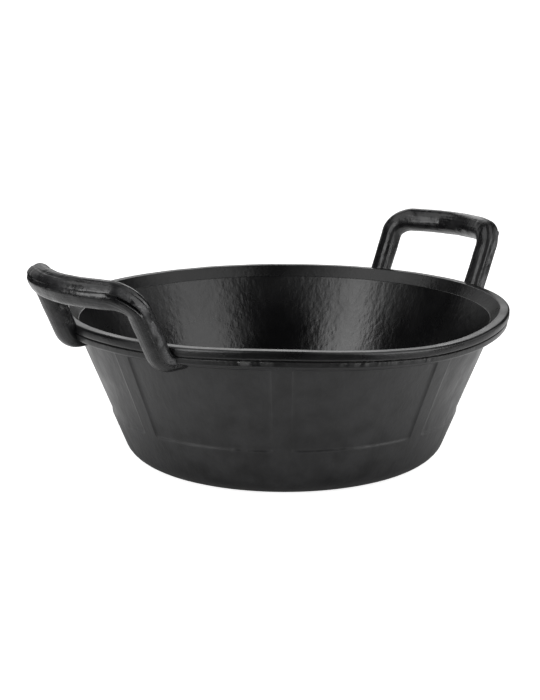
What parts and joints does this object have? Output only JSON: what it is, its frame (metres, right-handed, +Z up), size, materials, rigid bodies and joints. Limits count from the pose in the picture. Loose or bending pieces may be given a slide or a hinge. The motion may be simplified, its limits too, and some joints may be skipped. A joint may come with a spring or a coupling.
{
  "type": "rubber feed tub",
  "caption": "Low round conical rubber feed tub with a grooved rim bead, ribbed panelled wall and two bowed loop handles that lean outwards, for carrying feed or water to livestock.",
  "frame": {"origin": "centre of the base, on the ground", "axes": "+Z up along the tub's axis, +X through the middle of both handles"},
  "size_m": [0.531, 0.42, 0.2027],
  "materials": {
    "tub_rubber": "moulded satin",
    "rim_rubber": "moulded semi-gloss with trimmed flash",
    "handle_rubber": "moulded semi-gloss with a parting line",
    "textile_cord": "twisted textile cord"
  },
  "bodies": {
    "root": {"floor_disc": "tub_rubber", "tub_wall": "tub_rubber", "rim_bead": "rim_rubber", "rim_cord": "textile_cord", "left_handle": "handle_rubber", "left_handle_cord": "textile_cord", "right_handle": "handle_rubber", "right_handle_cord": "textile_cord"}
  },
  "joints": []
}
